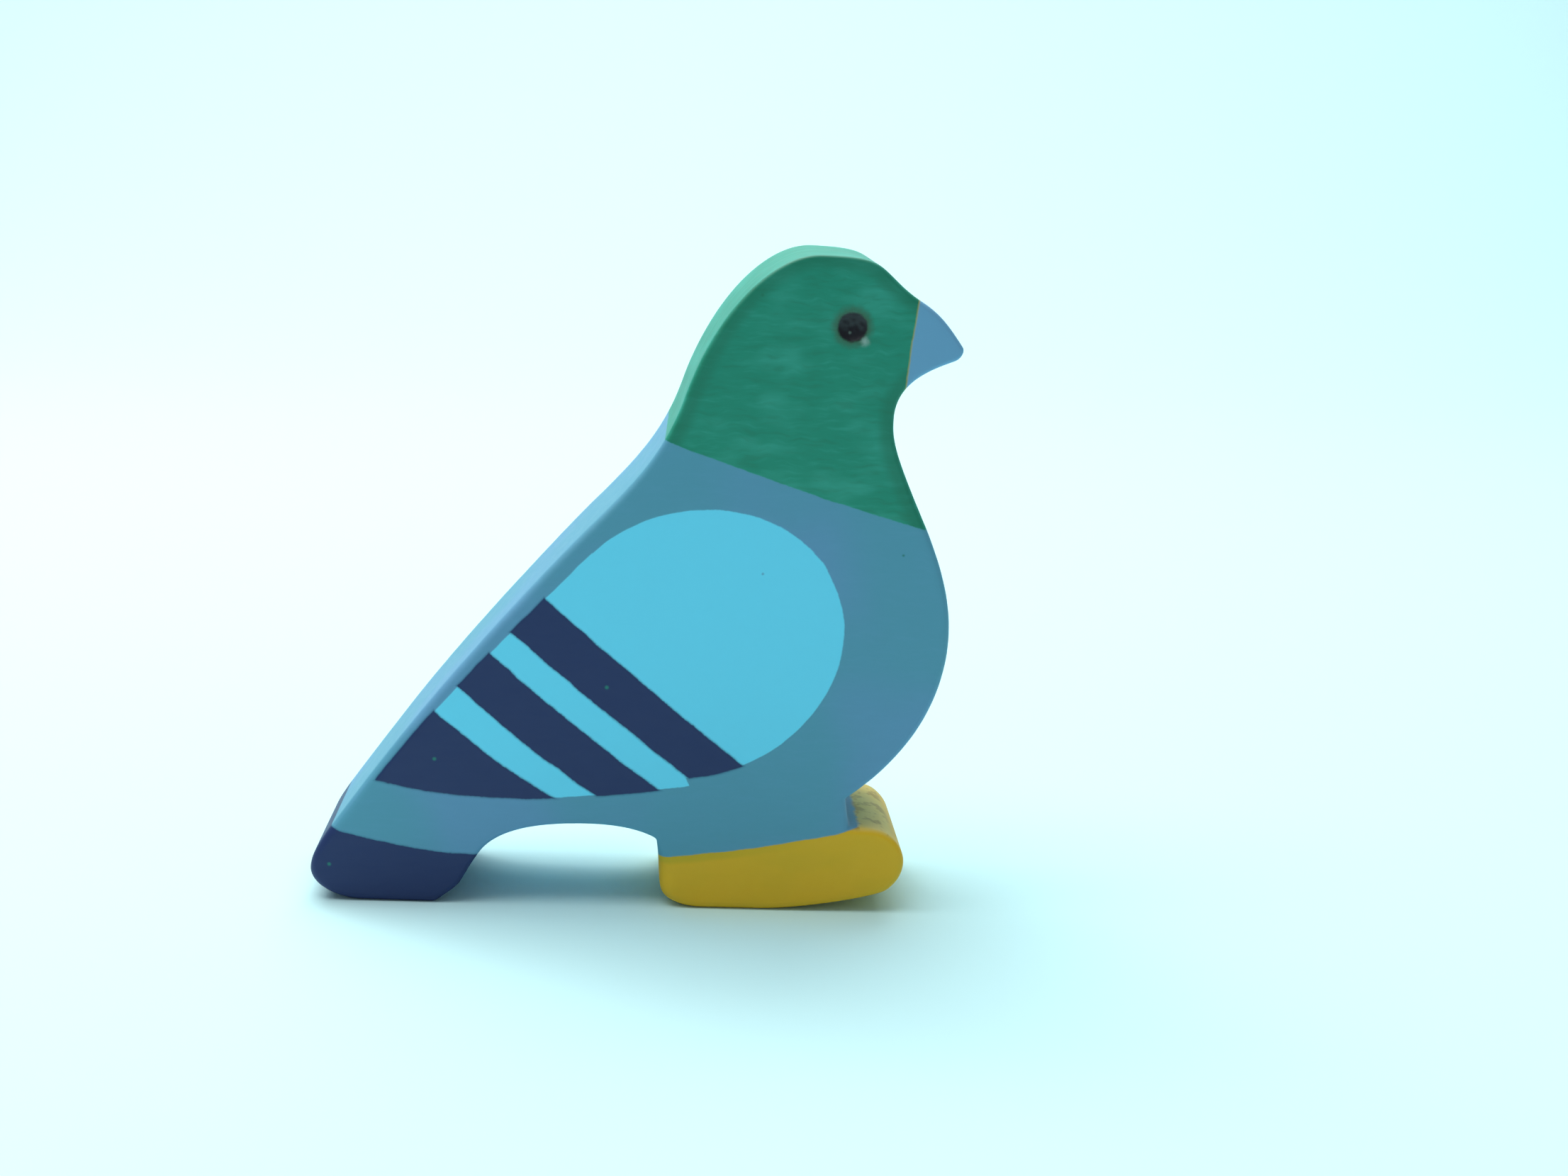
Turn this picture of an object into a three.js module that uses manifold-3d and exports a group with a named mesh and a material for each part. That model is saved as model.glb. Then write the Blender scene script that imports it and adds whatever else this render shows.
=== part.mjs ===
// A toy pigeon cut from one flat board, its edges rounded over by hand.
// Millimetres. +X is the way the beak points, +Z is up, and the board's thickness runs along Y.
// The origin is on the ground, under the middle of the bird.

import * as THREE from "three";
import { mergeVertices } from "three/addons/utils/BufferGeometryUtils.js";
import Module from "manifold-3d";

// the board
const boardThickness = 18;
const halfThickness = boardThickness / 2;

// the cut line, as the saw follows it clockwise with the wood on its right
// heading: degrees, 0 towards the beak and 90 up; leaving: the new heading after a sharp corner
// before, after: how far the curve keeps to its heading on either side of the point
// edge: radius of the hand rounding there
const cutLine = [
  { at: "tail underside, front", x: -22.5, z: 0, heading: 180, before: 0.9, after: 2, edge: 0.8 },
  { at: "tail underside, back", x: -29.5, z: 0, heading: 180, before: 2, after: 3.4, edge: 0.9 },
  { at: "tail tip", x: -35.5, z: 3.7, heading: 88, before: 1.9, after: 1.6, edge: 0.9 },
  { at: "rump", x: -32.85, z: 9.2, heading: 55, before: 2.8, after: 12, edge: 1.1 },
  { at: "back", x: -8.65, z: 40.2, heading: 49, before: 20.4, after: 9.8, edge: 1.05 },
  { at: "nape", x: 4.7, z: 58.7, heading: 72, before: 8.6, after: 10.6, edge: 0.7 },
  { at: "crown", x: 19.0, z: 74.8, heading: 0, before: 5.0, after: 6.4, edge: 0.45 },
  { at: "brow", x: 27.9, z: 71.8, heading: -40, before: 3.6, after: 3.7, edge: 0.6 },
  { at: "beak ridge", x: 34.85, z: 65.5, heading: -55, before: 5.8, after: 0.55, edge: 0.55 },
  { at: "beak underside", x: 34.05, z: 63.9, heading: -157, before: 0.8, after: 2.4, edge: 0.5 },
  { at: "throat", x: 27.8, z: 57.3, heading: -90, before: 4.2, after: 2.3, edge: 0.6 },
  { at: "neck front", x: 31.85, z: 45.9, heading: -64, before: 8.6, after: 6.5, edge: 0.75 },
  { at: "breast", x: 35.5, z: 32.9, heading: -90, before: 3.3, after: 12.5, edge: 0.8 },
  { at: "leg, top", x: 24.9, z: 13.5, heading: -130, leaving: -81, before: 0.9, after: 1.2, edge: 0.85 },
  { at: "leg, foot of", x: 25.45, z: 10.3, heading: -81, leaving: -5, before: 1.2, after: 1.3, edge: 0.85 },
  { at: "toe, top", x: 29.4, z: 9.8, heading: -22, before: 1.3, after: 1.3, edge: 0.75 },
  { at: "toe, front", x: 32.0, z: 6.0, heading: -91, before: 1.7, after: 1.6, edge: 0.7 },
  { at: "toe, lower corner", x: 30.0, z: 2.5, heading: -150, before: 1.1, after: 1.6, edge: 0.75 },
  { at: "sole, front", x: 15.25, z: 0, heading: 180, before: 5.6, after: 2, edge: 0.9 },
  { at: "sole, back", x: 9.05, z: 0, heading: 180, before: 2, after: 2.6, edge: 0.9 },
  { at: "heel", x: 4.1, z: 2.1, heading: 103, before: 1.5, after: 0.8, edge: 1.5 },
  { at: "heel wall", x: 3.8, z: 5.0, heading: 93, before: 1, after: 1, edge: 1.9 },
  { at: "arch, front corner", x: 3.5, z: 8.0, heading: 97, before: 1, after: 0.35, edge: 0.35 },
  { at: "arch, shoulder", x: 2.6, z: 8.7, heading: 157, before: 0.4, after: 2.2, edge: 0.3 },
  { at: "arch, crown", x: -5.0, z: 9.8, heading: 181, before: 3.0, after: 4.2, edge: 0.35 },
  { at: "arch, back", x: -16.15, z: 6.5, heading: 230, before: 3.4, after: 0.9, edge: 0.5 },
  { at: "tail, front face", x: -18.35, z: 2.8, heading: 243, before: 1.4, after: 1.1, edge: 0.7 },
  { at: "tail, lower corner", x: -21.0, z: 0.3, heading: 214, before: 1.1, after: 0.5, edge: 0.75 },
];

// facets: the longest chord along the cut line, the most that it may turn or its rounding may change
// from one point to the next, how finely a stretch is searched, and the steps over a rounded edge
const longestChord = 2;
const mostTurn = 8;
const mostEasing = 0.2;
const fineSteps = 200;
const edgeSteps = 4;

// the eye is a shallow round dimple, burnt into both faces
const eye = { x: 22.6, z: 67.2, radius: 1.6, depth: 0.5, sides: 28, rings: 24 };

const paint = { color: 0x55859f, roughness: 0.55, metalness: 0 };

const degrees = Math.PI / 180;

function direction(heading) {
  return new THREE.Vector2(Math.cos(heading * degrees), Math.sin(heading * degrees));
}

// the cubic curve between two neighbouring points of the cut line
function stretchBetween(from, to) {
  const start = new THREE.Vector2(from.x, from.z);
  const end = new THREE.Vector2(to.x, to.z);
  const leave = direction(from.leaving ?? from.heading).multiplyScalar(from.after);
  const arrive = direction(to.heading).multiplyScalar(-to.before);
  return new THREE.CubicBezierCurve(start, start.clone().add(leave), end.clone().add(arrive), end);
}

// walk one stretch, keeping a point wherever the line has turned or run far enough,
// or the rounding of its edge has grown or shrunk enough to show
function stationsAlong(from, to) {
  const curve = stretchBetween(from, to);
  const length = curve.getLength();
  const chord = length / Math.ceil(length / longestChord);
  const end = curve.getPoint(1);
  const stations = [];
  for (let i = 0; i < fineSteps; i += 1) {
    const t = i / fineSteps;
    const point = curve.getPoint(t);
    const tangent = curve.getTangent(t);
    const edge = THREE.MathUtils.lerp(from.edge, to.edge, THREE.MathUtils.smoothstep(t, 0, 1));
    const last = stations.at(-1);
    if (!last) {
      stations.push({ point, tangent, edge });
    } else {
      const bent = last.tangent.dot(tangent) < Math.cos(mostTurn * degrees);
      const eased = Math.abs(edge - last.edge) > mostEasing;
      const ranFar = point.distanceTo(last.point) >= chord && point.distanceTo(end) > chord / 3;
      if (bent || eased || ranFar) {
        stations.push({ point, tangent, edge });
      }
    }
  }
  return stations;
}

// the inward normal at a sharp corner is the mitre of the two cuts that meet there
function inwardAt(tangentBefore, tangentAfter) {
  const inBefore = new THREE.Vector2(tangentBefore.y, -tangentBefore.x);
  const inAfter = new THREE.Vector2(tangentAfter.y, -tangentAfter.x);
  const middle = inBefore.clone().add(inAfter).normalize();
  return middle.divideScalar(middle.dot(inAfter));
}

function cutLineStations() {
  const stations = [];
  cutLine.forEach((from, i) => {
    const to = cutLine[(i + 1) % cutLine.length];
    const stretch = stationsAlong(from, to);
    const arriving = direction(from.heading);
    stretch[0].inward = inwardAt(arriving, stretch[0].tangent);
    stretch.slice(1).forEach((station) => {
      station.inward = inwardAt(station.tangent, station.tangent);
    });
    stations.push(...stretch);
  });
  return stations;
}

// each ring is the cut line at one depth of the board, drawn in by the edge rounding
function ringOf(stations, face, lift) {
  return stations.map(({ point, inward, edge }) => {
    const drawnIn = edge * (1 - Math.cos(lift));
    const depth = halfThickness - edge * (1 - Math.sin(lift));
    const x = point.x + inward.x * drawnIn;
    const z = point.y + inward.y * drawnIn;
    return new THREE.Vector3(x, face * depth, z);
  });
}

function boardSolid() {
  const stations = cutLineStations();
  const lifts = Array.from({ length: edgeSteps + 1 }, (_, i) => (i / edgeSteps) * (Math.PI / 2));
  const near = lifts.map((lift) => ringOf(stations, -1, lift)).reverse();
  const far = lifts.map((lift) => ringOf(stations, 1, lift));
  const rings = [...near, ...far];
  const count = stations.length;
  const positions = rings.flat().flatMap((p) => p.toArray());
  const index = [];
  for (let r = 0; r + 1 < rings.length; r += 1) {
    for (let i = 0; i < count; i += 1) {
      const a = r * count + i;
      const b = r * count + ((i + 1) % count);
      index.push(a, b, a + count, b, b + count, a + count);
    }
  }
  const lastRing = (rings.length - 1) * count;
  const faceOutline = rings[0].map((p) => new THREE.Vector2(p.x, p.z));
  THREE.ShapeUtils.triangulateShape(faceOutline, []).forEach(([a, b, c]) => {
    index.push(a, b, c);
    index.push(lastRing + a, lastRing + c, lastRing + b);
  });
  const geometry = new THREE.BufferGeometry();
  geometry.setAttribute("position", new THREE.Float32BufferAttribute(positions, 3));
  geometry.setIndex(index);
  return geometry;
}

// a ball that just dips into the face leaves the eye's round dimple
function eyeCutter(face) {
  const ball = (eye.radius ** 2 + eye.depth ** 2) / (2 * eye.depth);
  const geometry = new THREE.SphereGeometry(ball, eye.sides, eye.rings);
  geometry.translate(eye.x, face * (halfThickness + ball - eye.depth), eye.z);
  return geometry;
}

const wasm = await Module();
wasm.setup();

function toSolid(geometry) {
  const bare = geometry.clone();
  bare.deleteAttribute("normal");
  bare.deleteAttribute("uv");
  const merged = mergeVertices(bare, 1e-4);
  return new wasm.Manifold(
    new wasm.Mesh({
      numProp: 3,
      vertProperties: new Float32Array(merged.attributes.position.array),
      triVerts: new Uint32Array(merged.index.array),
    }),
  );
}

function toGeometry(solid) {
  const mesh = solid.getMesh();
  const geometry = new THREE.BufferGeometry();
  geometry.setAttribute("position", new THREE.BufferAttribute(mesh.vertProperties, 3));
  geometry.setIndex(new THREE.BufferAttribute(mesh.triVerts, 1));
  geometry.computeVertexNormals();
  return geometry;
}

function birdGeometry() {
  const board = toSolid(boardSolid());
  const nearEye = toSolid(eyeCutter(-1));
  const farEye = toSolid(eyeCutter(1));
  return toGeometry(board.subtract(nearEye).subtract(farEye));
}

const bird = new THREE.Mesh(birdGeometry(), new THREE.MeshStandardMaterial(paint));
bird.name = "dove_body";

const group = new THREE.Group();
group.add(bird);

export default group;
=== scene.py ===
import math
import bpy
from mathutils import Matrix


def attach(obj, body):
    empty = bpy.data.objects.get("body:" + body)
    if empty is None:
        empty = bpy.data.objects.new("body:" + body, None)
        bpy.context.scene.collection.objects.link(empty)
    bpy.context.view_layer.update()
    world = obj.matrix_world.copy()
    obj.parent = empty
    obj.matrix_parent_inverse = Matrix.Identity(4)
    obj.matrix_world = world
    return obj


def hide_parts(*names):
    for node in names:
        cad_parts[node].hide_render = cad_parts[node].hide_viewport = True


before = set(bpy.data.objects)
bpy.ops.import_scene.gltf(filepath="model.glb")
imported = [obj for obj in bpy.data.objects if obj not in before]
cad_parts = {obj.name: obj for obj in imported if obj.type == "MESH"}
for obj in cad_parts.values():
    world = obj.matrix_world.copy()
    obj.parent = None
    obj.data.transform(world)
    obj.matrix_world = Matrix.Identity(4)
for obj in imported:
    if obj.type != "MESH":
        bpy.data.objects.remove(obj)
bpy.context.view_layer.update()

from types import SimpleNamespace

import bpy
import numpy as np
from mathutils import Matrix, Vector, geometry, noise

mm = 0.001  # sizes in this file are in millimetres


# the bird, sawn from one board

board = {
    "thickness": 18.0,
    "cutStep": 0.28,  # spacing of the mesh along the cut
    "cutTurn": 4.0,  # and the most it may turn, in degrees, from one point to the next
    "roundingRows": 8,
    "wallRows": 18,
    "faceStep": 0.52,  # spacing of the mesh over the flat faces
    "sandingDeep": 0.055,  # how far hand sanding has worn hollows into the sawn edge
    "sandingLong": 7.0,
    "rippleDeep": 0.025,  # the saw's short ripples, run out by the sanding
    "rippleLong": 1.6,
    "planingDeep": 0.02,
    "planingLong": 9,
    "edgeWornFrom": 0.8,  # wear is full this far past the face
    "solesFlatTo": 0.6,  # and fades out towards the ground, so that the soles stay flat
    "fuzzDeep": 0.035,  # raised fibres where the saw left the wood under the arch
    "fuzzLong": 0.35,
    "archMiddle": -6,
    "archReach": 9,
    "archLow": 6,
    "archHigh": 10.3,
}

# the saw's path, clockwise seen from the pictured side, with the wood on its right
# heading: 0 is towards the beak and 90 is up; before and after: how long the curve keeps its heading
# edge: radius of the hand rounding
cutLine = [
    {"at": "tail underside, front", "x": -22.5, "z": 0.0,
     "heading": 180, "before": 0.9, "after": 2.0, "edge": 0.8},
    {"at": "tail underside, back", "x": -29.5, "z": 0.0,
     "heading": 180, "before": 2.0, "after": 3.4, "edge": 0.9},
    {"at": "tail tip", "x": -35.5, "z": 3.7,
     "heading": 88, "before": 1.9, "after": 1.6, "edge": 0.9},
    {"at": "rump", "x": -32.85, "z": 9.2,
     "heading": 55, "before": 2.8, "after": 12.0, "edge": 1.1},
    {"at": "back", "x": -8.65, "z": 40.2,
     "heading": 49, "before": 20.4, "after": 9.8, "edge": 1.05},
    {"at": "nape", "x": 4.7, "z": 58.7,
     "heading": 72, "before": 8.6, "after": 10.6, "edge": 0.7},
    {"at": "crown", "x": 19.0, "z": 74.8,
     "heading": 0, "before": 5.0, "after": 6.4, "edge": 0.45},
    {"at": "brow", "x": 27.9, "z": 71.8,
     "heading": -40, "before": 3.6, "after": 3.7, "edge": 0.6},
    {"at": "beak ridge", "x": 34.85, "z": 65.5,
     "heading": -55, "before": 5.8, "after": 0.55, "edge": 0.55},
    {"at": "beak underside", "x": 34.05, "z": 63.9,
     "heading": -157, "before": 0.8, "after": 2.4, "edge": 0.5},
    {"at": "throat", "x": 27.8, "z": 57.3,
     "heading": -90, "before": 4.2, "after": 2.3, "edge": 0.6},
    {"at": "neck front", "x": 31.85, "z": 45.9,
     "heading": -64, "before": 8.6, "after": 6.5, "edge": 0.75},
    {"at": "breast", "x": 35.5, "z": 32.9,
     "heading": -90, "before": 3.3, "after": 12.5, "edge": 0.8},
    {"at": "leg, top", "x": 24.9, "z": 13.5,
     "heading": -130, "leaving": -81, "before": 0.9, "after": 1.2, "edge": 0.85},
    {"at": "leg, foot of", "x": 25.45, "z": 10.3,
     "heading": -81, "leaving": -5, "before": 1.2, "after": 1.3, "edge": 0.85},
    {"at": "toe, top", "x": 29.4, "z": 9.8,
     "heading": -22, "before": 1.3, "after": 1.3, "edge": 0.75},
    {"at": "toe, front", "x": 32.0, "z": 6.0,
     "heading": -91, "before": 1.7, "after": 1.6, "edge": 0.7},
    {"at": "toe, lower corner", "x": 30.0, "z": 2.5,
     "heading": -150, "before": 1.1, "after": 1.6, "edge": 0.75},
    {"at": "sole, front", "x": 15.25, "z": 0.0,
     "heading": 180, "before": 5.6, "after": 2.0, "edge": 0.9},
    {"at": "sole, back", "x": 9.05, "z": 0.0,
     "heading": 180, "before": 2.0, "after": 2.6, "edge": 0.9},
    {"at": "heel", "x": 4.1, "z": 2.1,
     "heading": 103, "before": 1.5, "after": 0.8, "edge": 1.5},
    {"at": "heel wall", "x": 3.8, "z": 5.0,
     "heading": 93, "before": 1.0, "after": 1.0, "edge": 1.9},
    {"at": "arch, front corner", "x": 3.5, "z": 8.0,
     "heading": 97, "before": 1.0, "after": 0.35, "edge": 0.35},
    {"at": "arch, shoulder", "x": 2.6, "z": 8.7,
     "heading": 157, "before": 0.4, "after": 2.2, "edge": 0.3},
    {"at": "arch, crown", "x": -5.0, "z": 9.8,
     "heading": 181, "before": 3.0, "after": 4.2, "edge": 0.35},
    {"at": "arch, back", "x": -16.15, "z": 6.5,
     "heading": 230, "before": 3.4, "after": 0.9, "edge": 0.5},
    {"at": "tail, front face", "x": -18.35, "z": 2.8,
     "heading": 243, "before": 1.4, "after": 1.1, "edge": 0.7},
    {"at": "tail, lower corner", "x": -21.0, "z": 0.3,
     "heading": 214, "before": 1.1, "after": 0.5, "edge": 0.75},
]

# the eye, burnt in with a hot point
eye = {
    "x": 22.6,
    "z": 67.2,
    "radius": 1.6,
    "depth": 0.5,
    "step": 0.13,  # spacing of the mesh in and round it
    "reach": 2.8,
    "rimLeast": 0.94,  # the rim's radius wanders up from this share of it
    "uneven": 0.12,
    "lumpSize": 0.55,
}


def direction(heading):
    return np.array([math.cos(math.radians(heading)), math.sin(math.radians(heading))])


def cubic(p0, p1, p2, p3, t):
    return p0 * (1 - t) ** 3 + 3 * p1 * t * (1 - t) ** 2 + 3 * p2 * t**2 * (1 - t) + p3 * t**3


def sawStretch(start, end):
    # points, headings and rounding along one stretch of the cut
    p0 = np.array([start["x"], start["z"]])
    p3 = np.array([end["x"], end["z"]])
    leaving = start.get("leaving", start["heading"])
    p1 = p0 + direction(leaving) * start["after"]
    p2 = p3 - direction(end["heading"]) * end["before"]
    t = np.linspace(0, 1, 401)[:, None]
    points = cubic(p0, p1, p2, p3, t)
    steps = np.hypot(*np.diff(points, axis=0).T)
    run = np.concatenate([[0], np.cumsum(steps)])
    turn = abs((end["heading"] - leaving + 180) % 360 - 180)
    count = max(2, math.ceil(run[-1] / board["cutStep"]), math.ceil(turn / board["cutTurn"]))
    share = np.interp(np.arange(count) / count * run[-1], run, t[:, 0])[:, None]
    place = cubic(p0, p1, p2, p3, share)
    slope = (p1 - p0) * (1 - share) ** 2 + 2 * (p2 - p1) * share * (1 - share) + (p3 - p2) * share**2
    slope /= np.linalg.norm(slope, axis=1)[:, None]
    ease = share[:, 0] ** 2 * (3 - 2 * share[:, 0])
    return place, slope, start["edge"] + (end["edge"] - start["edge"]) * ease


def sawPath():
    # the whole cut: places, inward directions, rounding radii and the distance sawn
    places, inwards, edges = [], [], []
    for number, start in enumerate(cutLine):
        end = cutLine[(number + 1) % len(cutLine)]
        place, slope, edge = sawStretch(start, end)
        inward = np.stack([slope[:, 1], -slope[:, 0]], axis=1)
        arriving = direction(start["heading"])
        mitre = np.array([arriving[1], -arriving[0]]) + inward[0]
        mitre /= np.linalg.norm(mitre)
        inward[0] = mitre / mitre.dot(inward[0])  # a sharp corner draws in along its mitre
        places.append(place)
        inwards.append(inward)
        edges.append(edge)
    places = np.concatenate(places)
    sawn = np.concatenate([[0], np.cumsum(np.hypot(*np.diff(places, axis=0).T))])
    return places, np.concatenate(inwards), np.concatenate(edges), sawn


def sawnWall(path):
    # rows of points from the near face's edge, over the rounding and the wall, to the far face's edge
    places, inward, edge = path[:3]
    half = board["thickness"] / 2
    rows = []
    for k in range(board["roundingRows"]):
        lift = math.pi / 2 * (1 - k / board["roundingRows"])
        rows.append((lift, None))
    for k in range(board["wallRows"] + 1):
        rows.append((0.0, k / board["wallRows"]))
    for k in range(board["roundingRows"]):
        lift = math.pi / 2 * (k + 1) / board["roundingRows"]
        rows.append((lift, None))
    middle = len(rows) / 2
    points, normals, over = [], [], []
    for number, (lift, share) in enumerate(rows):
        face = -1 if number < middle else 1
        drawnIn = edge * (1 - math.cos(lift))
        depth = face * (half - edge * (1 - math.sin(lift)))
        beyond = edge * (math.pi / 2 - lift)
        if share is not None:
            depth = (half - edge) * (2 * share - 1)
            beyond = edge * math.pi / 2 + (half - edge) * 2 * min(share, 1 - share)
        flat = places + inward * drawnIn[:, None]
        points.append(np.stack([flat[:, 0], depth, flat[:, 1]], axis=1))
        unit = inward / np.linalg.norm(inward, axis=1)[:, None]
        across = np.full(len(places), face * math.sin(lift))
        normals.append(np.stack([-unit[:, 0] * math.cos(lift), across, -unit[:, 1] * math.cos(lift)], axis=1))
        over.append(beyond)
    return np.array(points), np.array(normals), np.array(over)


def insideOf(loop, points):
    # which points lie inside a closed loop
    inside = np.zeros(len(points), bool)
    for a, b in zip(loop, np.roll(loop, -1, axis=0)):
        if a[1] == b[1]:
            continue
        crosses = (a[1] > points[:, 1]) != (b[1] > points[:, 1])
        meets = a[0] + (points[:, 1] - a[1]) / (b[1] - a[1]) * (b[0] - a[0])
        inside ^= crosses & (points[:, 0] < meets)
    return inside


def distanceTo(loop, points):
    nearest = np.full(len(points), 1e9)
    for a, b in zip(loop, np.roll(loop, -1, axis=0)):
        run = b - a
        share = np.clip(((points - a) @ run) / max(run @ run, 1e-12), 0, 1)
        nearest = np.minimum(nearest, np.hypot(*(points - a - share[:, None] * run).T))
    return nearest


def flatPoints(loop):
    # points spread over a flat face, with close rings round the eye
    step = board["faceStep"]
    low, high = loop.min(axis=0), loop.max(axis=0)
    rowGap = step * math.sqrt(3) / 2
    spread = []
    for row in range(int((high[1] - low[1]) / rowGap) + 1):
        start = low[0] + (row % 2) * step / 2
        xs = np.arange(start, high[0], step)
        spread.append(np.stack([xs, np.full(len(xs), low[1] + row * rowGap)], axis=1))
    spread = np.concatenate(spread)
    centre = np.array([eye["x"], eye["z"]])
    spread = spread[np.hypot(*(spread - centre).T) > eye["reach"] + step / 2]
    spread = spread[insideOf(loop, spread)]
    spread = spread[distanceTo(loop, spread) > step * 0.55]
    rings = [centre[None, :]]
    for radius in np.arange(eye["step"], eye["reach"], eye["step"]):
        angles = np.arange(0, 2 * math.pi, eye["step"] / radius) + radius
        angles = angles[: max(6, int(2 * math.pi * radius / eye["step"]))]
        rings.append(centre + radius * np.stack([np.cos(angles), np.sin(angles)], axis=1))
    return np.concatenate([spread, *rings])


def roughly(place, size, seed):
    # smooth unevenness from 0 to 1
    return 0.5 + 0.5 * noise.noise(Vector(place) / size + Vector((seed, seed * 1.7, -seed)))


def wearAway(points, normals, over, along):
    # the hand work, always into the wood and never out of it
    worn = points.copy()
    for k, (place, normal) in enumerate(zip(points, normals)):
        onWall = min(max(over[k] / board["edgeWornFrom"], 0), 1)
        stretched = (along[k], place[1] * 0.35, 0)
        short = (along[k], place[1] * 0.12, 5)
        depth = onWall * board["sandingDeep"] * roughly(stretched, board["sandingLong"], 3)
        depth += onWall * board["rippleDeep"] * roughly(short, board["rippleLong"], 11)
        depth += board["planingDeep"] * roughly(place, board["planingLong"], 21)
        inArch = board["archLow"] < place[2] < board["archHigh"]
        underArch = onWall * inArch * max(0, 1 - abs(place[0] - board["archMiddle"]) / board["archReach"])
        fibres = roughly((along[k], place[1] * 0.5, 9), board["fuzzLong"], 31)
        depth += underArch * board["fuzzDeep"] * fibres
        worn[k] -= normal * depth * min(place[2] / board["solesFlatTo"], 1)
    return worn


def burnEye(points, face):
    # the burnt dimple: a shallow bowl with a scorched, uneven bottom
    sunk = points.copy()
    for k, place in enumerate(points):
        dx, dz = place[0] - eye["x"], place[2] - eye["z"]
        far = math.hypot(dx, dz)
        if far > eye["reach"]:
            continue
        outward = (dx / max(far, 0.1), face, dz / max(far, 0.1))
        rim = eye["radius"] * (eye["rimLeast"] + eye["uneven"] * roughly(outward, 0.6, 41))
        bowl = max(0, 1 - (far / rim) ** 2) ** 0.8
        lumps = 0.75 + 0.5 * roughly(place, eye["lumpSize"], 51)
        sunk[k][1] -= face * eye["depth"] * min(bowl * lumps, 1.1)
    return sunk


def sawBird():
    path = sawPath()
    points, normals, over = sawnWall(path)
    rows, count = points.shape[:2]
    wall = points.reshape(-1, 3)
    along = np.tile(path[3], rows)  # the distance sawn
    loop = points[0][:, [0, 2]]
    spread = flatPoints(loop)
    inner = -distanceTo(loop, spread)
    flat = [Vector(p) for p in np.concatenate([loop, spread])]
    outline = list(range(count))[::-1]  # the loop runs clockwise
    made = geometry.delaunay_2d_cdt(flat, [], [outline], 1, 1e-7)
    source = [group[0] for group in made[3]]
    triangles = [[source[v] for v in triangle] for triangle in made[2]]
    allPoints = [wall]
    allNormals = [normals.reshape(-1, 3)]
    allOver = [over.reshape(-1)]
    allAlong = [along]
    faces = []
    for row in range(rows - 1):
        for k in range(count):
            a, b = row * count + k, row * count + (k + 1) % count
            faces.append((a, b, b + count, a + count))
    for face in (-1, 1):
        base = sum(len(p) for p in allPoints)
        edgeRow = 0 if face < 0 else (rows - 1) * count
        depth = np.full(len(spread), face * board["thickness"] / 2)
        side = np.stack([spread[:, 0], depth, spread[:, 1]], axis=1)
        allPoints.append(side)
        allNormals.append(np.tile([0.0, float(face), 0.0], (len(side), 1)))
        allOver.append(inner)
        allAlong.append(side[:, 0])
        for triangle in triangles:
            corners = [edgeRow + v if v < count else base + v - count for v in triangle]
            faces.append(corners if face < 0 else corners[::-1])
    points = np.concatenate(allPoints)
    over = np.concatenate(allOver)
    along = np.concatenate(allAlong)
    points = wearAway(points, np.concatenate(allNormals), over, along)
    for face in (-1, 1):
        onFace = (over < 0) & (points[:, 1] * face > 0)
        points[onFace] = burnEye(points[onFace], face)
    mesh = bpy.data.meshes.new("doveBody")
    mesh.from_pydata((points * mm).tolist(), [], faces)
    mesh.validate()
    mesh.shade_smooth()
    for name, values in {"overEdge": over, "alongCut": along}.items():
        layer = mesh.attributes.new(name, "FLOAT", "POINT")
        layer.data.foreach_set("value", values.astype(np.float32))
    bird = bpy.data.objects.new("doveBody", mesh)
    bpy.context.scene.collection.objects.link(bird)
    print("bird sawn:", len(points), "points,", len(faces), "faces")
    return bird


# shader maths: a socket that can stand in a sum


class Wire:
    def __init__(self, recipe, socket):
        self.recipe = recipe
        self.socket = socket

    def maths(self, operation, *others, clamp=False):
        sockets = dict(enumerate([self, *others]))
        return self.recipe.node("ShaderNodeMath", {"operation": operation, "use_clamp": clamp}, sockets)

    def __add__(self, other):
        return self.maths("ADD", other)

    def __radd__(self, other):
        return self.maths("ADD", other)

    def __sub__(self, other):
        return self.maths("SUBTRACT", other)

    def __rsub__(self, other):
        return self.recipe.node("ShaderNodeMath", {"operation": "SUBTRACT"}, {0: other, 1: self})

    def __mul__(self, other):
        return self.maths("MULTIPLY", other)

    def __rmul__(self, other):
        return self.maths("MULTIPLY", other)

    def __truediv__(self, other):
        return self.maths("DIVIDE", other)

    def __pow__(self, other):
        return self.maths("POWER", other)

    def lesser(self, other):
        return self.maths("MINIMUM", other)

    def greater(self, other):
        return self.maths("MAXIMUM", other)

    def rise(self, low, high):
        # 0 below low and 1 above high, eased; low above high falls instead
        ends = {"From Min": low, "From Max": high, "To Min": 0.0, "To Max": 1.0, "Value": self}
        return self.recipe.node("ShaderNodeMapRange", {"interpolation_type": "SMOOTHSTEP"}, ends)


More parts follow.
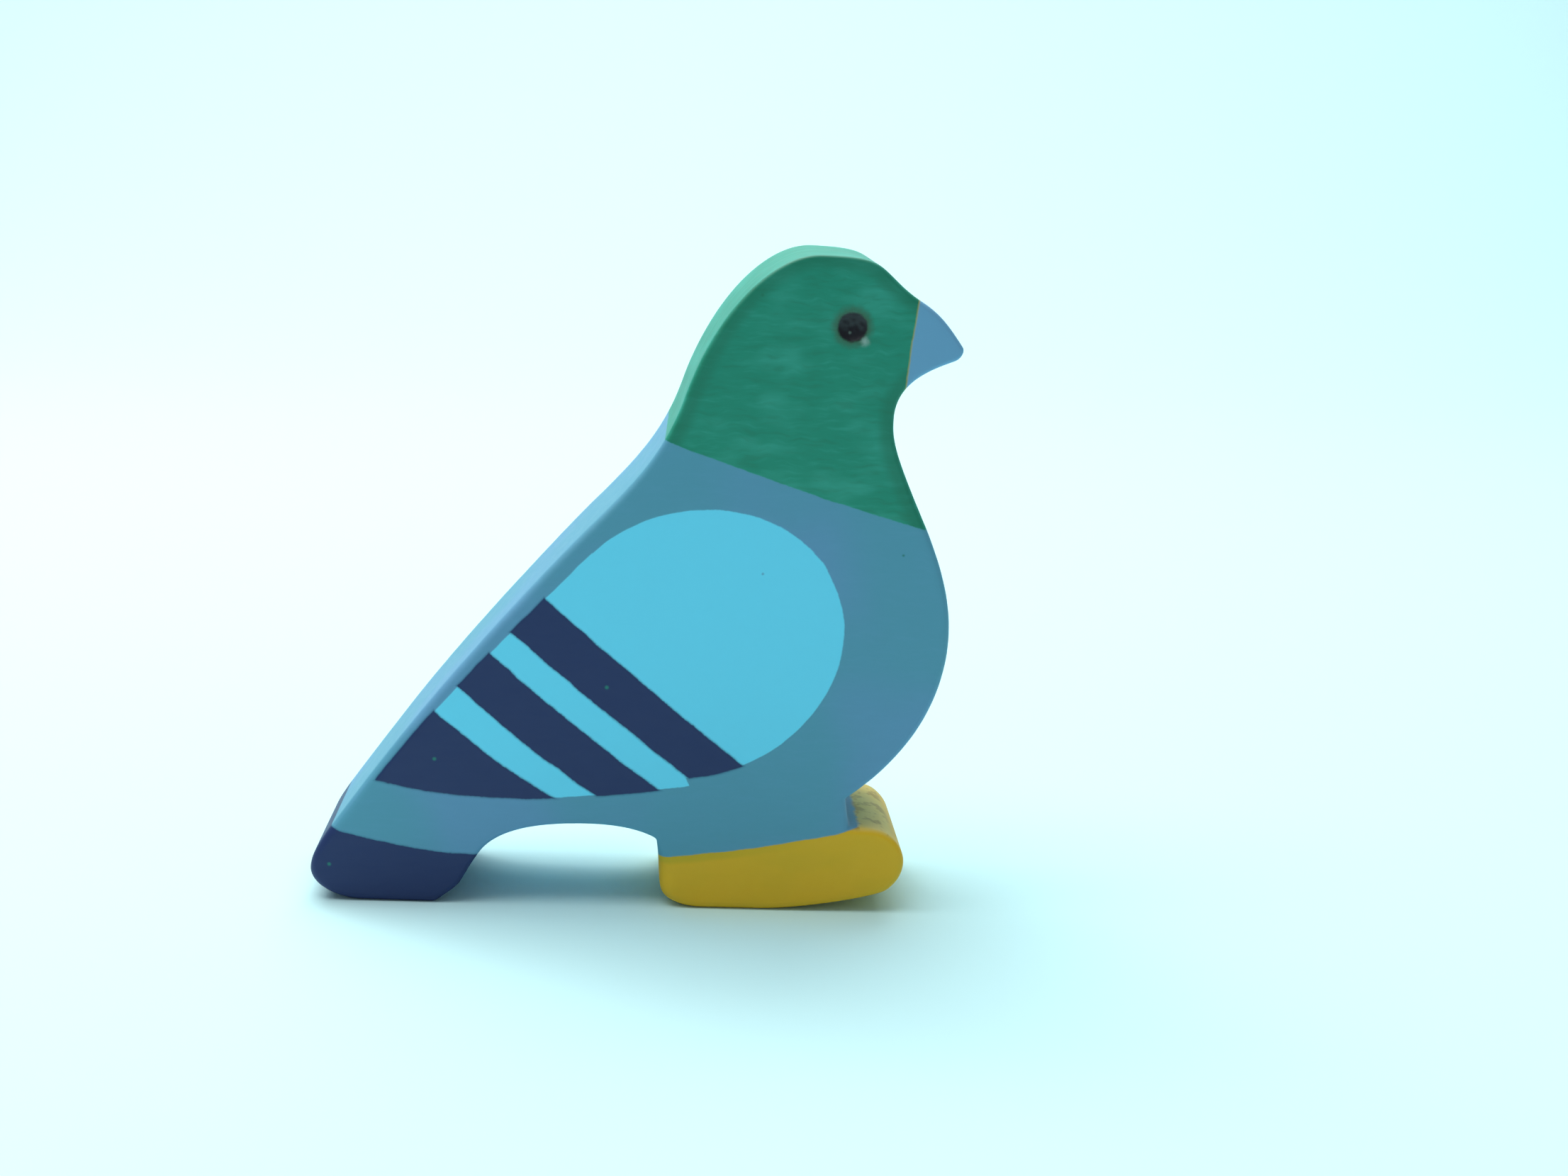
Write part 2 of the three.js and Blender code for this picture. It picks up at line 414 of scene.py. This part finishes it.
class Recipe:
    def __init__(self, name):
        self.material = bpy.data.materials.new(name)
        self.material.use_nodes = True
        self.nodes = self.material.node_tree.nodes
        self.links = self.material.node_tree.links
        self.nodes.clear()

    def node(self, kind, settings, sockets, output=0):
        made = self.nodes.new(kind)
        for name, value in settings.items():
            setattr(made, name, value)
        for key, value in sockets.items():
            if isinstance(value, Wire):
                self.links.new(value.socket, made.inputs[key])
            else:
                made.inputs[key].default_value = value
        return Wire(self, made.outputs[output]) if made.outputs else made

    def blend(self, share, under, over, mode="MIX"):
        # colours: over laid on under where share is 1
        settings = {"data_type": "RGBA", "blend_type": mode}
        return self.node("ShaderNodeMix", settings, {0: share, 6: under, 7: over}, 2)

    def place(self, x, y, z):
        return self.node("ShaderNodeCombineXYZ", {}, {0: x, 1: y, 2: z})

    def grain(self, place, size, detail=2.0, roughness=0.5, seed=0.0):
        # unevenness about 0.5, with lumps of that size
        settings = {"noise_dimensions": "4D"}
        sockets = {"Vector": place, "W": seed, "Scale": 1.0 / size, "Detail": detail, "Roughness": roughness}
        return self.node("ShaderNodeTexNoise", settings, sockets)

    def finish(self, surface):
        self.node("ShaderNodeOutputMaterial", {}, {"Surface": surface})
        return self.material


def colour(red, green, blue):
    # a paint as it would be picked on a screen, 0 to 255
    steps = [c / 255 for c in (red, green, blue)]
    return (*[c / 12.92 if c <= 0.04045 else ((c + 0.055) / 1.055) ** 2.4 for c in steps], 1.0)


# the paints, and where each one ends on the wood: every border is a curve through three or four places

paints = {
    "body": colour(96, 150, 186),
    "bodyLight": colour(108, 163, 200),
    "bodyTeal": colour(84, 152, 176),
    "wing": colour(110, 222, 252),
    "navy": colour(12, 38, 92),
    "navyThin": colour(30, 88, 120),
    "green": colour(10, 138, 112),
    "greenDark": colour(6, 112, 84),
    "greenPale": colour(60, 170, 150),
    "foot": colour(232, 178, 12),
    "footOlive": colour(202, 170, 0),
    "footPale": colour(226, 196, 96),
    "footOchre": colour(176, 130, 0),
    "char": colour(10, 10, 22),
    "scorch": colour(60, 84, 58),
    # a painted highlight, for the glint in the eye's dimple
    "eyeGlint": colour(120, 140, 130),
    "primer": colour(176, 196, 190),
}
borders = {
    "head": [(5.2, 53.2), (17.74, 49.15), (30.6, 45.48)],
    "beak": [(29.6, 69.3), (29.2, 66.1), (28.9, 62.3)],  # read upwards
    "barOneTop": [(-8.9, 35.16), (1.3, 26.57), (11.95, 18.08)],
    "barOneFoot": [(-12.5, 31.2), (-3.1, 23.44), (6.7, 15.79)],
    "barTwoTop": [(-15.0, 28.9), (-6.5, 21.75), (2.5, 14.92)],
    "barTwoFoot": [(-18.5, 25), (-11.5, 19.08), (-4.0, 13.61)],
    "wingTip": [(-21.3, 22.3), (-15.65, 17.75), (-9.6, 13.64)],
    "wingFoot": [(-27.5, 14.35), (-20.2, 13.15), (-10.0, 12.85), (6.4, 14.67)],
    "wingBack": [(-27.94, 14.6), (-18.8, 26), (-11.5, 34), (-4.5, 41.6)],
    "tailTip": [(-31.8, 8.25), (-24.7, 6.66), (-17.5, 5.91)],
    "foot": [(6.3, 6.4), (15.5, 7.68), (24.56, 9.63)],
}
wingRound = {
    "x": 6.77,
    "z": 31.13,
    "long": 17.17,
    "short": 15.06,
    "turn": 0.45,
    "shoulder": (-4.9, 41.6),
    "root": (7.0, 14.7),
}


def curveThrough(places, along):
    # the smooth curve through a few places, as an expression in the coordinate it runs along
    across = 1 - along
    reach = [p[along] for p in places]
    factors = np.polyfit(reach, [p[across] for p in places], len(places) - 1)

    def curve(t):
        value = t * float(factors[0]) + float(factors[1])
        for factor in factors[2:]:
            value = value * t + float(factor)
        return value

    slope = (places[-1][across] - places[0][across]) / (reach[-1] - reach[0])
    return curve, math.cos(math.atan(slope))


def above(name, x, z):
    # how far the place lies above a border, in millimetres
    curve, lean = curveThrough(borders[name], 0)
    return (z - curve(x)) * lean


def beyondBeakLine(x, z):
    curve, lean = curveThrough(borders["beak"], 1)
    return (x - curve(z)) * lean


def withinWing(x, z):
    # how far inside the wing the place lies: a leaning oval, run out towards the tail
    w = wingRound
    cosTurn, sinTurn = math.cos(w["turn"]), math.sin(w["turn"])
    dx, dz = x - w["x"], z - w["z"]
    u = (dx * cosTurn + dz * sinTurn) / w["long"]
    v = (dz * cosTurn - dx * sinTurn) / w["short"]
    oval = (1 - (u * u + v * v) ** 0.5) * math.sqrt(w["long"] * w["short"])
    (x0, z0), (x1, z1) = w["shoulder"], w["root"]
    length = math.hypot(x1 - x0, z1 - z0)
    behind = ((x - x0) * (z1 - z0) - (z - z0) * (x1 - x0)) / length
    return oval.greater(behind).lesser(above("wingFoot", x, z)).lesser(above("wingBack", x, z) * -1)


marks = {
    "specks": [  # x, z, radius, paint, on the pictured side only
        (12.73, 70.23, 0.28, "greenDark"),
        (14.15, 39.55, 0.22, "body"),
        (29.68, 42.20, 0.22, "greenDark"),
        (-2.66, 25.98, 0.3, "green"),
        (-21.61, 17.06, 0.3, "green"),
        (-33.23, 4.33, 0.3, "green"),
    ],
    "borderSoft": 0.09,
    "wobble": 0.16,
    "wobbleSize": 2.6,
    "ragged": 0.07,
    "raggedSize": 0.45,
}


def spot(x, z, at, radius, soft):
    dx, dz = x - at[0], z - at[1]
    return (dx * dx + dz * dz).maths("SQRT").rise(radius + soft, radius - soft)


def readSurface(r):
    # what every paint needs to know about a place on the bird
    where = r.node("ShaderNodeTexCoord", {}, {}, "Object")
    s = SimpleNamespace()
    s.spread = r.node("ShaderNodeVectorMath", {"operation": "SCALE"}, {0: where, "Scale": 1 / mm})
    s.x = r.node("ShaderNodeSeparateXYZ", {}, {0: s.spread}, "X")
    s.y = r.node("ShaderNodeSeparateXYZ", {}, {0: s.spread}, "Y")
    s.z = r.node("ShaderNodeSeparateXYZ", {}, {0: s.spread}, "Z")
    s.over = r.node("ShaderNodeAttribute", {"attribute_name": "overEdge"}, {}, "Fac")
    s.along = r.node("ShaderNodeAttribute", {"attribute_name": "alongCut"}, {}, "Fac")
    s.onWall = s.over.rise(0.2, 1.0)
    s.nearSide = s.y.rise(-7.0, -8.5)
    # the brush: borders wander a little and are finely ragged
    s.wander = r.grain(s.spread, marks["wobbleSize"], 1.0, 0.5, 1.0) - 0.5
    wanderToo = r.grain(s.spread, marks["wobbleSize"], 1.0, 0.5, 7.0) - 0.5
    s.fray = r.grain(s.spread, marks["raggedSize"], 2.0, 0.6, 3.0) - 0.5
    s.px = s.x + s.wander * (2 * marks["wobble"]) + s.fray * (2 * marks["ragged"])
    s.pz = s.z + wanderToo * (2 * marks["wobble"]) + s.fray * (2 * marks["ragged"])
    # streaks: across the board on the faces, along the cut on the sawn edge
    strokePlace = r.place(s.x * 0.16, s.y * 0.3, s.z * 1.0 + s.wander * 1.6)
    s.strokes = r.grain(strokePlace, 0.55, 3.0, 0.6, 12.0)
    s.patches = r.grain(r.place(s.x * 0.45, s.y * 0.4, s.z * 1.0), 3.2, 2.0, 0.5, 15.0)
    s.cutStreaks = r.grain(r.place(s.along * 0.07, s.y * 1.0, 0.0), 0.5, 3.0, 0.6, 18.0)
    return s


def paintBody(r, s):
    # grey-blue, a little uneven
    cloud = r.grain(s.spread, 16.0, 1.0, 0.5, 5.0)
    tone = r.blend(cloud.rise(0.35, 0.65), paints["body"], paints["bodyTeal"])
    tone = r.blend(s.strokes.rise(0.42, 0.75) * 0.12, tone, paints["bodyLight"])
    # on the sawn edge the grey-blue is lighter in streaks: partly thinner paint, partly a painted sheen of
    # the edge seen at a grazing angle
    tone = r.blend(s.onWall * s.cutStreaks.rise(0.4, 0.7) * 0.3, tone, paints["bodyLight"])
    return r.blend(s.onWall * s.cutStreaks.rise(0.5, 0.25) * 0.25, tone, paints["body"])


def paintWing(r, s, tone):
    # wing and bars stop where the rounding begins
    soft = marks["borderSoft"]
    inWing = withinWing(s.px, s.pz)
    s.wing = inWing.rise(-soft, soft) * s.over.rise(1.0, 0.8)
    tone = r.blend(s.wing, tone, paints["wing"])
    barOne = (above("barOneTop", s.px, s.pz) * -1).lesser(above("barOneFoot", s.px, s.pz))
    barTwo = (above("barTwoTop", s.px, s.pz) * -1).lesser(above("barTwoFoot", s.px, s.pz))
    tip = above("wingTip", s.px, s.pz) * -1
    bars = barOne.greater(barTwo).greater(tip).lesser(inWing + 0.12)
    barReach = s.over.rise(1.2, 0.8)
    s.navy = bars.rise(-soft, soft) * barReach
    tone = r.blend(bars.rise(-0.28, 0.02) * barReach * 0.45, tone, paints["navyThin"])
    return r.blend(s.navy, tone, paints["navy"])


def paintTail(r, s, tone):
    # the tail tip, carried over the rounding and the sawn edge
    soft = marks["borderSoft"]
    tailTip = above("tailTip", s.px, s.pz) * -1
    onTail = s.x.rise(-14.0, -16.0)
    s.tail = tailTip.rise(-soft, soft) * onTail
    tone = r.blend(tailTip.rise(-0.3, 0.02) * onTail * 0.4, tone, paints["navyThin"])
    return r.blend(s.tail, tone, paints["navy"])


def paintHead(r, s, tone):
    # green, brushed across, darker in a band along the edge
    soft = marks["borderSoft"]
    lift = (s.y + 9.0) * 0.07  # the green ends higher towards the far face
    s.head = above("head", s.px, s.pz - lift).rise(-soft, soft)
    green = r.blend(s.patches.rise(0.45, 0.7) * 0.45, paints["green"], paints["greenPale"])
    green = r.blend(s.strokes.rise(0.5, 0.75) * 0.35, green, paints["greenPale"])
    green = r.blend(s.strokes.rise(0.5, 0.3) * 0.35, green, paints["greenDark"])
    edgeBand = s.over.rise(-1.7, -0.3) * s.over.rise(0.9, 0.3)
    green = r.blend(edgeBand * 0.55, green, paints["greenDark"])
    # on the sawn edge the green is paler in streaks: partly thinner paint, partly a painted sheen of the edge
    # seen at a grazing angle
    green = r.blend(s.onWall * s.cutStreaks.rise(0.4, 0.65) * 0.5, green, paints["greenPale"])
    return r.blend(s.head, tone, green)


def paintBeak(r, s, tone):
    # bare of green
    soft = marks["borderSoft"]
    beakLine = beyondBeakLine(s.px, s.pz)
    onBeak = s.z.rise(56.0, 57.0)
    tone = r.blend(beakLine.rise(-soft, soft) * onBeak, tone, paints["bodyLight"])
    return r.blend(spotBand(beakLine, 0.16) * onBeak * 0.4, tone, paints["footOlive"])


def paintFoot(r, s, tone):
    # yellow over the grey-blue, olive where the two overlap
    soft = marks["borderSoft"]
    footLine = above("foot", s.px, s.pz) * -1
    s.foot = footLine.rise(-soft, soft) * s.x.rise(0.0, 2.0)
    yellow = r.blend(s.patches.rise(0.4, 0.75) * 0.25, paints["foot"], paints["footOlive"])
    overlap = footLine.rise(1.2, 0.5) * s.x.rise(24.0, 6.0)
    yellow = r.blend(overlap * 0.75, yellow, paints["footOlive"])
    # the toe's upward top is paler: partly paler paint, partly a painted sheen where the top faces the light
    onToe = s.x.rise(25.2, 26.0) * s.z.rise(8.4, 9.4) * s.onWall
    yellow = r.blend(onToe * 0.85, yellow, paints["footPale"])
    smudge = r.grain(s.spread, 1.6, 2.0, 0.6, 44.0)
    yellow = r.blend(onToe * smudge.rise(0.5, 0.62) * 0.7, yellow, paints["footOchre"])
    return r.blend(s.foot, tone, yellow)


def paintEye(r, s, tone):
    # char, with a scorched and scraped border and a small painted highlight
    dx, dz = s.x - eye["x"], s.z - eye["z"]
    far = (dx * dx + dz * dz).maths("SQRT")
    ring = r.grain(s.spread, 0.7, 3.0, 0.65, 52.0) - 0.5
    halo = (far + ring * 0.9).rise(2.7, 1.5)
    tone = r.blend(halo * 0.75, tone, paints["scorch"])
    scraped = spot(s.x + ring * 0.8, s.z + ring * 0.6, (24.0, 65.7), 0.4, 0.4)
    tone = r.blend(scraped * 0.6, tone, paints["primer"])
    s.char = (far + ring * 0.45).rise(1.78, 1.42)
    tone = r.blend(s.char, tone, paints["char"])
    # a small pale spot in the char on the pictured side: a painted highlight in the dimple
    eyeGlint = spot(s.x + ring * 0.3, s.z + ring * 0.5, (22.4, 66.6), 0.14, 0.12) * s.nearSide
    return r.blend(eyeGlint * 0.5, tone, paints["eyeGlint"])


def paintSpecks(r, s, tone):
    for x, z, radius, paint in marks["specks"]:
        here = spot(s.px, s.pz, (x, z), radius * 0.6, radius * 0.5) * s.nearSide
        tone = r.blend(here * 0.75, tone, paints[paint])
    return tone


def paintedWood():
    # satin paint over planed and sanded wood
    r = Recipe("paintedWood")
    s = readSurface(r)
    tone = paintBody(r, s)
    for paintArea in (paintWing, paintTail, paintHead, paintBeak, paintFoot, paintEye, paintSpecks):
        tone = paintArea(r, s, tone)
    bump = s.strokes * 0.25 + s.cutStreaks * s.onWall * 0.5 + s.fray * 0.1
    film = s.navy * 0.5 + s.wing * 0.35 + s.head * 0.4 + s.foot * 0.4 + s.tail * 0.4
    relief = (bump * 0.05 + film * 0.05) * 4.0
    raised = {"Strength": 0.35, "Distance": 0.4 * mm, "Height": relief}
    normal = r.node("ShaderNodeBump", {}, raised, "Normal")
    shine = 0.52 + (s.strokes - 0.5) * 0.2 - s.navy * 0.06 - s.char * 0.1
    sockets = {"Base Color": tone, "Roughness": shine, "Normal": normal, "Specular IOR Level": 0.45}
    return r.finish(r.node("ShaderNodeBsdfPrincipled", {}, sockets))


def spotBand(distance, width):
    # 1 along a border, fading to 0 at that width on either side
    return distance.maths("ABSOLUTE").rise(width, width * 0.3)


def makeBird():
    bird = sawBird()
    bird.data.materials.append(paintedWood())
    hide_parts("dove_body")
    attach(bird, "root")
    print("bird painted")


# the pale sheet it stands on, swept up behind

sweep = {"front": -1400, "bend": 420, "radius": 500, "height": 1500, "side": 1600, "steps": 24}


def makeSweep():
    s = sweep
    profile = [(s["front"], 0.0)]
    for k in range(s["steps"] + 1):
        angle = math.pi / 2 * k / s["steps"]
        profile.append((s["bend"] + s["radius"] * math.sin(angle), s["radius"] * (1 - math.cos(angle))))
    profile.append((s["bend"] + s["radius"], s["height"]))
    points = [(side * s["side"] * mm, y * mm, z * mm) for y, z in profile for side in (-1, 1)]
    faces = [(2 * k, 2 * k + 1, 2 * k + 3, 2 * k + 2) for k in range(len(profile) - 1)]
    mesh = bpy.data.meshes.new("paleSweep")
    mesh.from_pydata(points, [], faces)
    mesh.shade_smooth()
    obj = bpy.data.objects.new("paleSweep", mesh)
    bpy.context.scene.collection.objects.link(obj)
    r = Recipe("palePaper")
    sockets = {"Base Color": colour(206, 241, 243), "Roughness": 0.9, "Specular IOR Level": 0.1}
    obj.data.materials.append(r.finish(r.node("ShaderNodeBsdfPrincipled", {}, sockets)))
    print("sweep laid")


# light: a big soft panel overhead and a little to the left, one over the far end of the sheet,
# and a pale room

light = {
    "panel": {
        "at": (-190, 60, 600),
        "aim": (0, 0, 20),
        "size": 640,
        "power": 4.4,
        "tint": (0.95, 1.0, 1.0),
    },
    "rear": {
        "at": (0, 1000, 900),
        "aim": (0, 1000, 0),
        "size": 1200,
        "power": 16.0,
        "tint": (0.97, 1.0, 1.0),
    },
    "room": {"tint": (0.86, 0.95, 1.0), "strength": 0.3},
}


def addPanel(name):
    p = light[name]
    lamp = bpy.data.lights.new(name, "AREA")
    lamp.shape = "SQUARE"
    lamp.size = p["size"] * mm
    lamp.energy = p["power"]
    lamp.color = p["tint"]
    obj = bpy.data.objects.new(name, lamp)
    obj.location = Vector(p["at"]) * mm
    toward = (Vector(p["aim"]) * mm) - obj.location
    obj.rotation_euler = toward.to_track_quat("-Z", "Y").to_euler()
    bpy.context.scene.collection.objects.link(obj)


def lightRoom():
    addPanel("panel")
    addPanel("rear")
    world = bpy.data.worlds.new("paleRoom")
    world.use_nodes = True
    background = world.node_tree.nodes["Background"]
    background.inputs["Color"].default_value = (*light["room"]["tint"], 1.0)
    background.inputs["Strength"].default_value = light["room"]["strength"]
    bpy.context.scene.world = world
    bpy.context.scene.view_settings.view_transform = "Standard"
    print("lit")


# the camera stands where the photograph was taken

view = {
    "eye": (1.0, -231.0, 87.94),
    "right": (0.99707, -0.05908, 0.04865),
    "down": (0.03443, -0.22136, -0.97458),
    "forward": (0.06834, 0.97340, -0.21868),
    "focal": 2900.0,  # in pixels of the picture
    "imageWide": 2212.0,
    "sensor": 36.0,
}


def setCamera():
    data = bpy.data.cameras.new("camera")
    data.sensor_fit = "HORIZONTAL"
    data.sensor_width = view["sensor"]
    data.lens = view["sensor"] * view["focal"] / view["imageWide"]
    data.clip_start = 0.01
    camera = bpy.data.objects.new("camera", data)
    right, down, forward = (Vector(view[k]).normalized() for k in ("right", "down", "forward"))
    turn = Matrix((right, -down, -forward)).transposed()
    camera.matrix_world = Matrix.Translation(Vector(view["eye"]) * mm) @ turn.to_4x4()
    bpy.context.scene.collection.objects.link(camera)
    bpy.context.scene.camera = camera
    print("camera set")


setCamera()
makeBird()
makeSweep()
lightRoom()
